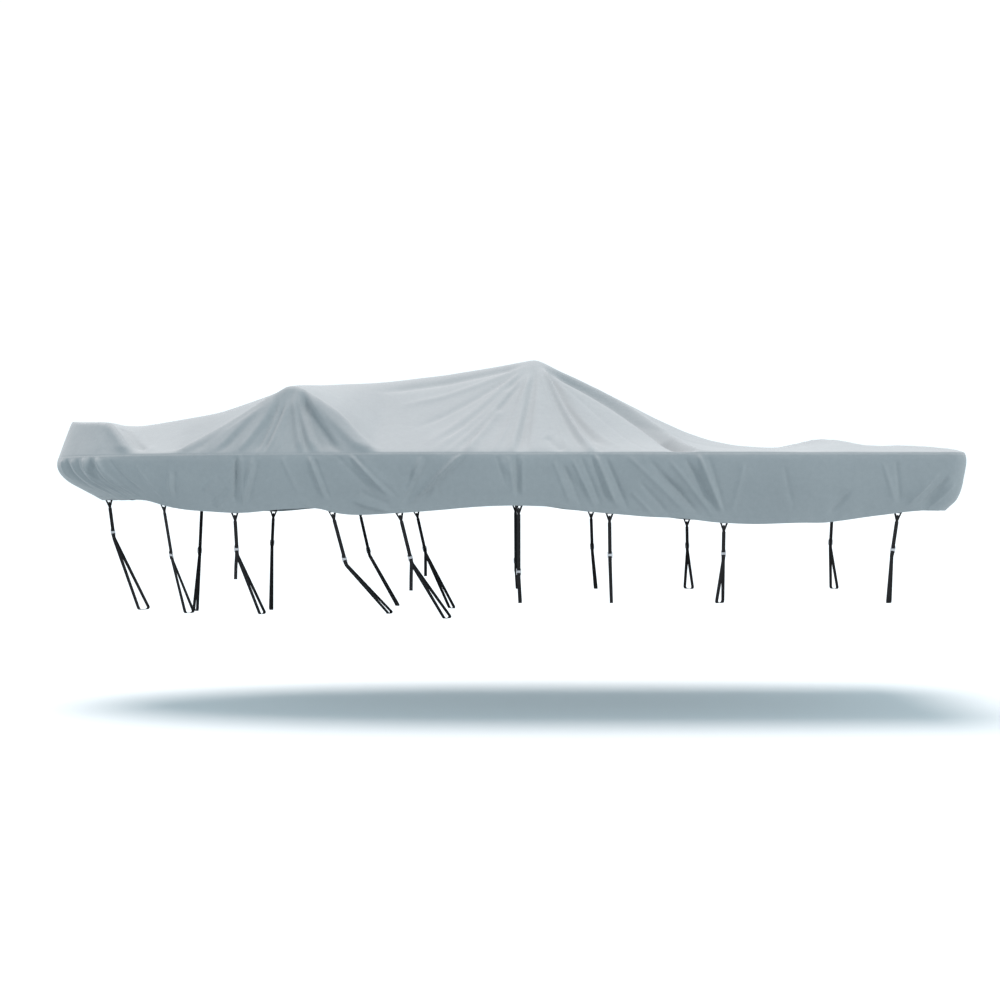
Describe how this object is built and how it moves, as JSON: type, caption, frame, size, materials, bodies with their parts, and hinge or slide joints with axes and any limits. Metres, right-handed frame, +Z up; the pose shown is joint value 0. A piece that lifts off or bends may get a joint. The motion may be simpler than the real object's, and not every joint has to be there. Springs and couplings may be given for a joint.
{
  "type": "boat cover",
  "caption": "Fitted cloth cover for an open motor boat, drawn to peaks over its windscreen and a support pole, with a skirt over the gunwale and webbing tie-downs round its hem.",
  "frame": {"origin": "inner face of the top panel at the peak over the support pole, where the pole's head carries the cover", "axes": "+X aft along the boat, +Y to starboard, +Z up"},
  "size_m": [7.3339, 2.4625, 2.1422],
  "materials": {
    "canvas": "matt woven polyester",
    "webbing": "woven webbing",
    "buckle": "satin"
  },
  "bodies": {
    "root": {"top_panel": "canvas", "skirt_port": "canvas", "skirt_starboard": "canvas", "skirt_transom": "canvas", "loop_bow": "webbing", "loop_port_1": "webbing", "loop_port_2": "webbing", "loop_port_3": "webbing", "loop_port_4": "webbing", "loop_port_5": "webbing", "loop_port_6": "webbing", "loop_port_7": "webbing", "loop_port_8": "webbing", "loop_starboard_1": "webbing", "loop_starboard_2": "webbing", "loop_starboard_3": "webbing", "loop_starboard_4": "webbing", "loop_starboard_5": "webbing", "loop_starboard_6": "webbing", "loop_starboard_7": "webbing", "loop_starboard_8": "webbing", "strap_bow": "webbing", "strap_port_1": "webbing", "strap_port_2": "webbing", "strap_port_3": "webbing", "strap_port_4": "webbing", "strap_port_5": "webbing", "strap_port_6": "webbing", "strap_port_7": "webbing", "strap_port_8": "webbing", "strap_starboard_1": "webbing", "strap_starboard_2": "webbing", "strap_starboard_3": "webbing", "strap_starboard_4": "webbing", "strap_starboard_5": "webbing", "strap_starboard_6": "webbing", "strap_starboard_7": "webbing", "strap_starboard_8": "webbing", "buckle_bow": "buckle", "buckle_port_1": "buckle", "buckle_port_2": "buckle", "buckle_port_3": "buckle", "buckle_port_4": "buckle", "buckle_port_5": "buckle", "buckle_port_6": "buckle", "buckle_port_7": "buckle", "buckle_port_8": "buckle", "buckle_starboard_1": "buckle", "buckle_starboard_2": "buckle", "buckle_starboard_3": "buckle", "buckle_starboard_4": "buckle", "buckle_starboard_5": "buckle", "buckle_starboard_6": "buckle", "buckle_starboard_7": "buckle", "buckle_starboard_8": "buckle"}
  },
  "joints": []
}
